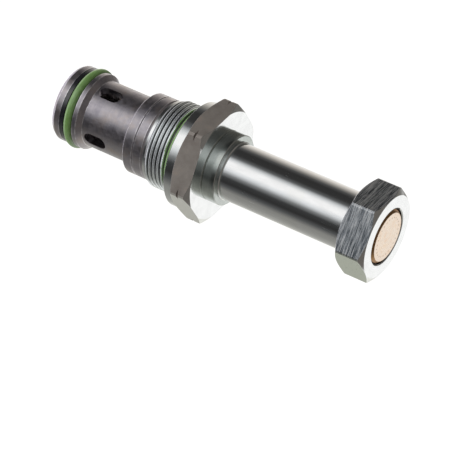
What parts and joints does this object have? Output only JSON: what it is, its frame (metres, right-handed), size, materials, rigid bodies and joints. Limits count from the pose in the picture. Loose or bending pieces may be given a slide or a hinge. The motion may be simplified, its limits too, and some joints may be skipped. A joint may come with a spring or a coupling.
{
  "type": "cartridge valve",
  "caption": "Solenoid-operated screw-in cartridge valve with windowed cage, hexagon adapter, polished core tube and coil nut; armature, poppet and nut move.",
  "frame": {"origin": "on the valve's axis, in the plane of the flange's seat face", "axes": "+Z along the axis from the nose towards the coil nut; +X through one of the four windows"},
  "size_m": [0.0406, 0.0388, 0.1193],
  "materials": {
    "dark_steel": "turned, satin, grey-violet heat tint",
    "green_rubber": "smooth fluoro rubber",
    "black_ring": "smooth",
    "black_rubber": "smooth",
    "hard_steel": "ground",
    "slide_ring": "filled PTFE",
    "spring_steel": "drawn wire",
    "zinc_plate": "zinc plated, turned and milled",
    "tube_steel": "polished",
    "collar_steel": "turned",
    "spacer_steel": "polished, non-magnetic",
    "core_steel": "turned",
    "shim_brass": "flat",
    "copper_plate": "copper plated, turned",
    "nut_steel": "zinc plated, brushed flats"
  },
  "bodies": {
    "valve_body": {"nose_cage": "dark_steel", "nose_o_ring": "green_rubber", "nose_backup_ring": "black_ring", "cage_seal_ring": "black_rubber", "seat_ring": "hard_steel", "needle_guide": "hard_steel", "guide_snap_ring": "spring_steel", "main_spring": "spring_steel", "adapter_body": "zinc_plate", "port_o_ring": "green_rubber", "tube_lower": "tube_steel", "tube_seal_ring": "black_rubber", "tube_collar": "collar_steel", "tube_spacer_ring": "spacer_steel", "tube_upper": "tube_steel", "pole_core": "core_steel", "core_shim": "shim_brass", "core_seal_ring": "black_rubber", "armature_spring": "spring_steel", "end_plug": "copper_plate"},
    "armature_set": {"armature": "core_steel", "armature_glide_ring": "slide_ring", "pilot_needle": "hard_steel", "needle_pin": "hard_steel"},
    "poppet_set": {"main_poppet": "hard_steel", "poppet_seal_ring": "slide_ring", "pilot_seat": "hard_steel"},
    "nut_seal": {"nut_o_ring": "black_rubber"},
    "nut": {"coil_nut": "nut_steel"}
  },
  "joints": [
    {"name": "armature_slide", "type": "slide", "parent": "valve_body", "child": "armature_set", "axis": [0, 0, 1], "range_m": [0, 0.0025], "stiffness_N_per_m": 300, "springref_m": -0.01, "deforming": ["armature_spring"]},
    {"name": "poppet_slide", "type": "slide", "parent": "valve_body", "child": "poppet_set", "axis": [0, 0, 1], "range_m": [0, 0.002], "stiffness_N_per_m": 400, "springref_m": -0.008, "deforming": ["main_spring"]},
    {"name": "nut_travel", "type": "slide", "parent": "valve_body", "child": "nut_seal", "axis": [0, 0, 1], "range_m": [0, 0.009]},
    {"name": "nut_turn", "type": "hinge", "parent": "nut_seal", "child": "nut", "pos_m": [0, 0, 0.0666], "axis": [0, 0, 1], "range_deg": [0, 3240]}
  ],
  "couplings": [
    {"joint": "poppet_slide", "follows": "armature_slide", "ratio": 0.8},
    {"joint": "nut_travel", "follows": "nut_turn", "m_per_rad": 0.00015915}
  ]
}
